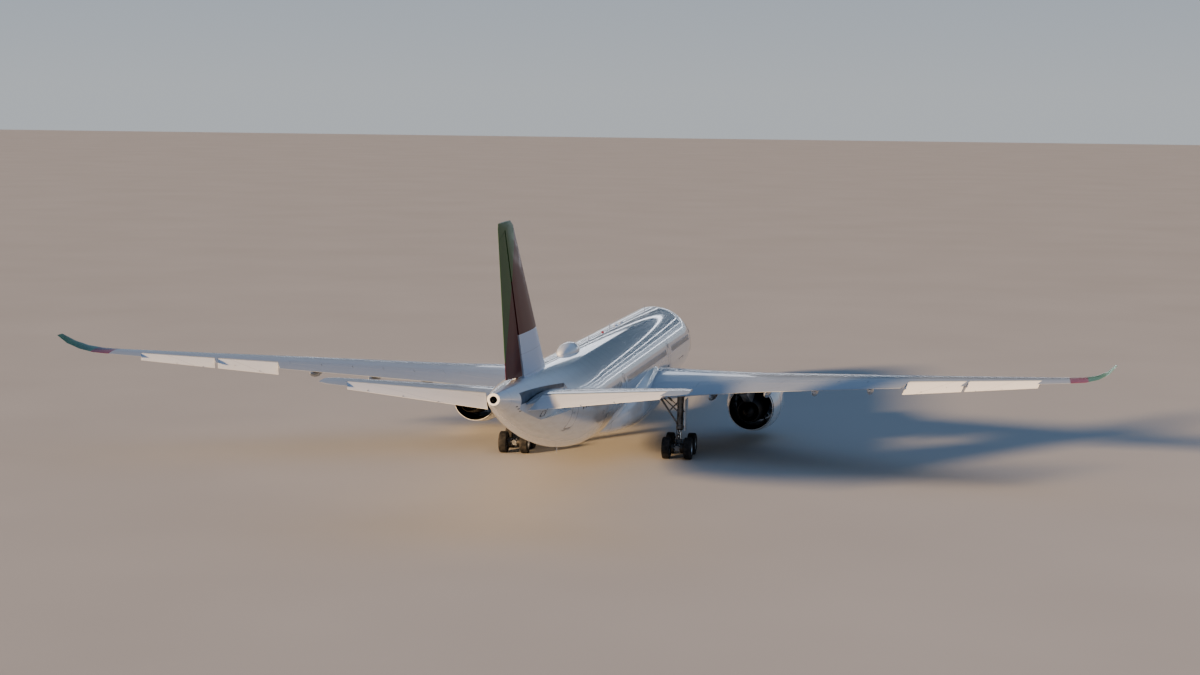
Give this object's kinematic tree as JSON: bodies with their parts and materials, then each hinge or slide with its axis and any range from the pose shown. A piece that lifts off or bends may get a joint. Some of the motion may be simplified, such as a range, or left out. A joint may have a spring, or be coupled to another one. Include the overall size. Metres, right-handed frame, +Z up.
{
  "type": "wide body twin-engined airliner, 1:2 scale model",
  "caption": "Wide body airliner standing on its gear, with moving control surfaces, fans, wheels, steering and cargo doors.",
  "frame": {"origin": "on the ground under the centre line, halfway along the aircraft's length", "axes": "+X to port, +Y aft, +Z up"},
  "size_m": [31.987, 31.8296, 8.395],
  "materials": {
    "white_paint": "gloss",
    "wing_grey": "satin",
    "nacelle_paint": "gloss",
    "green_paint": "gloss",
    "fin_paint": "gloss",
    "leading_edge_metal": "polished",
    "engine_metal": "satin",
    "fan_titanium": "satin",
    "cockpit_glass": "gloss",
    "gear_steel": "semi-gloss",
    "tyre_rubber": "matt, dusty"
  },
  "bodies": {
    "airframe": {"radome": "white_paint", "fuselage": "white_paint", "tail_cone": "white_paint", "cockpit_windows": "cockpit_glass", "belly_fairing": "white_paint", "wing_left": "wing_grey", "wing_right": "wing_grey", "winglet_left": "green_paint", "winglet_right": "green_paint", "slat_inner_left": "leading_edge_metal", "slat_inner_right": "leading_edge_metal", "slats_outer_left": "leading_edge_metal", "slats_outer_right": "leading_edge_metal", "flap_inner_left": "wing_grey", "flap_inner_right": "wing_grey", "flap_outer_left": "wing_grey", "flap_outer_right": "wing_grey", "pylon_left": "white_paint", "pylon_right": "white_paint", "nacelle_left": "nacelle_paint", "nacelle_right": "nacelle_paint", "engine_core_left": "engine_metal", "engine_core_right": "engine_metal", "fin": "fin_paint", "main_gear_leg_left": "gear_steel", "main_gear_leg_right": "gear_steel", "main_gear_door_left": "white_paint", "main_gear_door_right": "white_paint", "main_gear_bogie_left": "gear_steel", "main_gear_bogie_right": "gear_steel", "nose_gear_leg": "gear_steel", "nose_gear_door_left": "white_paint", "nose_gear_door_right": "white_paint"},
    "cargo_door_front": {"cargo_door_front": "white_paint"},
    "cargo_door_rear": {"cargo_door_rear": "white_paint"},
    "aileron_inner_left": {"aileron_inner_left": "white_paint"},
    "aileron_inner_right": {"aileron_inner_right": "white_paint"},
    "aileron_outer_left": {"aileron_outer_left": "white_paint"},
    "aileron_outer_right": {"aileron_outer_right": "white_paint"},
    "spoiler_inner_left": {"spoiler_inner_left": "wing_grey"},
    "spoiler_inner_right": {"spoiler_inner_right": "wing_grey"},
    "spoilers_outer_left": {"spoilers_outer_left": "wing_grey"},
    "spoilers_outer_right": {"spoilers_outer_right": "wing_grey"},
    "fan_left": {"fan_left": "fan_titanium"},
    "fan_right": {"fan_right": "fan_titanium"},
    "rudder": {"rudder": "green_paint"},
    "tailplane": {"tailplane": "wing_grey"},
    "elevator_left": {"elevator_left": "wing_grey"},
    "elevator_right": {"elevator_right": "wing_grey"},
    "main_wheels_front_left": {"main_wheels_front_left": "tyre_rubber"},
    "main_wheels_front_right": {"main_wheels_front_right": "tyre_rubber"},
    "main_wheels_rear_left": {"main_wheels_rear_left": "tyre_rubber"},
    "main_wheels_rear_right": {"main_wheels_rear_right": "tyre_rubber"},
    "nose_gear_fork": {"nose_gear_fork": "gear_steel"},
    "nose_wheels": {"nose_wheels": "tyre_rubber"}
  },
  "joints": [
    {"name": "aileron_inner_left_hinge", "type": "hinge", "parent": "airframe", "child": "aileron_inner_left", "pos_m": [10.025, 2.55814, 2.91128], "axis": [0.9077, 0.4079, 0.0981], "range_deg": [0, 45]},
    {"name": "aileron_outer_left_hinge", "type": "hinge", "parent": "airframe", "child": "aileron_outer_left", "pos_m": [11.85, 3.37852, 3.10856], "axis": [0.9078, 0.4076, 0.0988], "range_deg": [0, 45]},
    {"name": "spoiler_inner_left_hinge", "type": "hinge", "parent": "airframe", "child": "spoiler_inner_left", "pos_m": [3.25, -0.50407, 2.35255], "axis": [0.9767, 0.1955, 0.0881], "range_deg": [0, 35]},
    {"name": "spoilers_outer_left_hinge", "type": "hinge", "parent": "airframe", "child": "spoilers_outer_left", "pos_m": [5.2, 0.01186, 2.52316], "axis": [0.8988, 0.43, 0.0856], "range_deg": [0, 50]},
    {"name": "fan_left_spin", "type": "hinge", "parent": "airframe", "child": "fan_left", "pos_m": [4.71, -4.665, 1.265], "axis": [0, 1, 0], "continuous": true},
    {"name": "main_wheels_front_left_spin", "type": "hinge", "parent": "airframe", "child": "main_wheels_front_left", "pos_m": [2.67, -0.385, 0.35], "axis": [1, 0, 0], "continuous": true},
    {"name": "main_wheels_rear_left_spin", "type": "hinge", "parent": "airframe", "child": "main_wheels_rear_left", "pos_m": [2.67, 0.605, 0.35], "axis": [1, 0, 0], "continuous": true},
    {"name": "elevator_left_hinge", "type": "hinge", "parent": "tailplane", "child": "elevator_left", "pos_m": [0.775, 13.37748, 3.67942], "axis": [0.9386, 0.3262, 0.1122], "range_deg": [0, 42]},
    {"name": "aileron_inner_right_hinge", "type": "hinge", "parent": "airframe", "child": "aileron_inner_right", "pos_m": [-10.025, 2.55814, 2.91128], "axis": [0.9077, -0.4079, -0.0981], "range_deg": [0, 45]},
    {"name": "aileron_outer_right_hinge", "type": "hinge", "parent": "airframe", "child": "aileron_outer_right", "pos_m": [-11.85, 3.37852, 3.10856], "axis": [0.9078, -0.4076, -0.0988], "range_deg": [0, 45]},
    {"name": "spoiler_inner_right_hinge", "type": "hinge", "parent": "airframe", "child": "spoiler_inner_right", "pos_m": [-3.25, -0.50407, 2.35255], "axis": [0.9767, -0.1955, -0.0881], "range_deg": [0, 35]},
    {"name": "spoilers_outer_right_hinge", "type": "hinge", "parent": "airframe", "child": "spoilers_outer_right", "pos_m": [-5.2, 0.01186, 2.52316], "axis": [0.8988, -0.43, -0.0856], "range_deg": [0, 50]},
    {"name": "fan_right_spin", "type": "hinge", "parent": "airframe", "child": "fan_right", "pos_m": [-4.71, -4.665, 1.265], "axis": [0, -1, 0], "continuous": true},
    {"name": "main_wheels_front_right_spin", "type": "hinge", "parent": "airframe", "child": "main_wheels_front_right", "pos_m": [-2.67, -0.385, 0.35], "axis": [1, 0, 0], "continuous": true},
    {"name": "main_wheels_rear_right_spin", "type": "hinge", "parent": "airframe", "child": "main_wheels_rear_right", "pos_m": [-2.67, 0.605, 0.35], "axis": [1, 0, 0], "continuous": true},
    {"name": "elevator_right_hinge", "type": "hinge", "parent": "tailplane", "child": "elevator_right", "pos_m": [-0.775, 13.37748, 3.67942], "axis": [0.9386, -0.3262, -0.1122], "range_deg": [0, 42]},
    {"name": "tailplane_trim", "type": "hinge", "parent": "airframe", "child": "tailplane", "pos_m": [0, 13.135, 3.665], "axis": [1, 0, 0], "range_deg": [-2, 14]},
    {"name": "rudder_hinge", "type": "hinge", "parent": "airframe", "child": "rudder", "pos_m": [0, 13.01971, 4.225], "axis": [0, 0.4302, 0.9027], "range_deg": [-35, 35]},
    {"name": "nose_gear_steering", "type": "hinge", "parent": "airframe", "child": "nose_gear_fork", "pos_m": [0, -12.58, 0.2625], "axis": [0, 0, 1], "range_deg": [-72, 72]},
    {"name": "nose_wheels_spin", "type": "hinge", "parent": "nose_gear_fork", "child": "nose_wheels", "pos_m": [0, -12.58, 0.2625], "axis": [1, 0, 0], "continuous": true},
    {"name": "cargo_door_front_hinge", "type": "hinge", "parent": "airframe", "child": "cargo_door_front", "pos_m": [-1.35522, -10.6, 1.95449], "axis": [0, 0.9998, 0.0206], "range_deg": [0, 105]},
    {"name": "cargo_door_rear_hinge", "type": "hinge", "parent": "airframe", "child": "cargo_door_rear", "pos_m": [-1.35522, 3.1, 2.23671], "axis": [0, 0.9998, 0.0206], "range_deg": [0, 105]}
  ]
}
